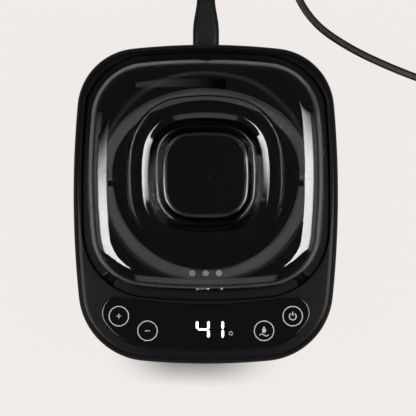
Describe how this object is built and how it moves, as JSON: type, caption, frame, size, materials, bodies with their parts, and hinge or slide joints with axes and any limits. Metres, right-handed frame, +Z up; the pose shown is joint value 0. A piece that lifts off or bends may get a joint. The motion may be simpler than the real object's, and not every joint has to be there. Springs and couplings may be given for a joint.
{
  "type": "wax warmer",
  "caption": "Electric wax warmer: lift-off smoked lid, removable pot with folding handles in a heated well, touch panel with display, plug-in lead.",
  "frame": {"origin": "on the table under the middle of the housing", "axes": "+Z up, -Y towards the front with the control panel, +Y towards the back where the lead plugs in, +X to the user's right"},
  "size_m": [0.3262, 0.3295, 0.1357],
  "materials": {
    "shell_black": "polished black moulding",
    "deck_black": "polished black moulding",
    "base_black": "fine spark-eroded black",
    "foot_rubber": "soft black",
    "screw_steel": "zinc plated",
    "panel_gloss": "mirror-smooth black overlay",
    "circuit_board": "green solder mask",
    "display_white": "white segments, lit, emissive",
    "pad_foam": "conductive foam",
    "lid_smoke": "smoked clear moulding",
    "pot_aluminium": "grey non-stick lining",
    "handle_grey": "light grey, satin",
    "bracket_steel": "stamped",
    "pin_steel": "turned",
    "seal_silicone": "grey silicone",
    "well_aluminium": "deep drawn",
    "band_mica": "mica wrapped element",
    "clamp_steel": "spring steel strip",
    "shield_steel": "thin bright sheet",
    "sensor_brass": "turned",
    "fuse_steel": "plain",
    "transformer_yellow": "tape wrapped",
    "relay_blue": "moulded",
    "capacitor_dark": "sleeved",
    "fuse_glass": "clear tube",
    "terminal_green": "moulded",
    "wire_brown": "insulated",
    "wire_white": "glass-fibre sleeve",
    "ribbon_grey": "flat cable",
    "inlet_black": "moulded",
    "pin_brass": "turned",
    "lead_black": "moulded, soft sheen",
    "cord_black": "flat twin flex",
    "blade_brass": "plated"
  },
  "bodies": {
    "housing": {"housing_shell": "shell_black", "top_deck": "deck_black", "seat_ring": "deck_black", "base_plate": "base_black", "rubber_feet": "foot_rubber", "base_screws": "screw_steel", "control_panel": "panel_gloss", "control_board": "circuit_board", "display_module": "display_white", "touch_pads": "pad_foam", "control_board_screws": "screw_steel", "well_seal": "seal_silicone", "heater_well": "well_aluminium", "heater_band": "band_mica", "band_clamp": "clamp_steel", "heat_shield": "shield_steel", "well_screws": "screw_steel", "temperature_sensor": "sensor_brass", "thermal_fuse": "fuse_steel", "power_board": "circuit_board", "power_board_screws": "screw_steel", "transformer": "transformer_yellow", "relay": "relay_blue", "capacitors": "capacitor_dark", "board_fuse": "fuse_glass", "terminal_block": "terminal_green", "mains_wires": "wire_brown", "heater_wires": "wire_white", "ribbon_cable": "ribbon_grey", "inlet_socket": "inlet_black", "inlet_pins": "pin_brass"},
    "pot_body": {"pot": "pot_aluminium", "hinge_brackets": "bracket_steel", "hinge_pins": "pin_steel"},
    "lid_body": {"lid": "lid_smoke"},
    "front_handle": {"handle_front": "handle_grey"},
    "rear_handle": {"handle_rear": "handle_grey"},
    "mains_lead": {"lead_connector": "lead_black", "connector_strain_relief": "lead_black", "mains_cord": "cord_black", "mains_cord_coil": "cord_black", "plug_strain_relief": "lead_black", "mains_plug": "lead_black", "plug_blades": "blade_brass"}
  },
  "joints": [
    {"name": "pot_lift", "type": "slide", "parent": "housing", "child": "pot_body", "axis": [0, 0, 1], "range_m": [0, 0.11]},
    {"name": "lid_lift", "type": "slide", "parent": "pot_body", "child": "lid_body", "axis": [0, 0, 1], "range_m": [0, 0.15]},
    {"name": "front_handle_hinge", "type": "hinge", "parent": "pot_body", "child": "front_handle", "pos_m": [0, 0.0183, 0.0876], "axis": [-1, 0, 0], "range_deg": [0, 88]},
    {"name": "rear_handle_hinge", "type": "hinge", "parent": "pot_body", "child": "rear_handle", "pos_m": [0, 0.0183, 0.0876], "axis": [1, 0, 0], "range_deg": [-41.5, 46.5]},
    {"name": "connector_pull", "type": "slide", "parent": "housing", "child": "mains_lead", "axis": [0, 1, 0], "range_m": [0, 0.02]}
  ],
  "couplings": [
    {"joint": "front_handle_hinge", "follows": "lid_lift", "rad_per_m": 10.238},
    {"joint": "rear_handle_hinge", "follows": "lid_lift", "rad_per_m": 5.4095}
  ]
}
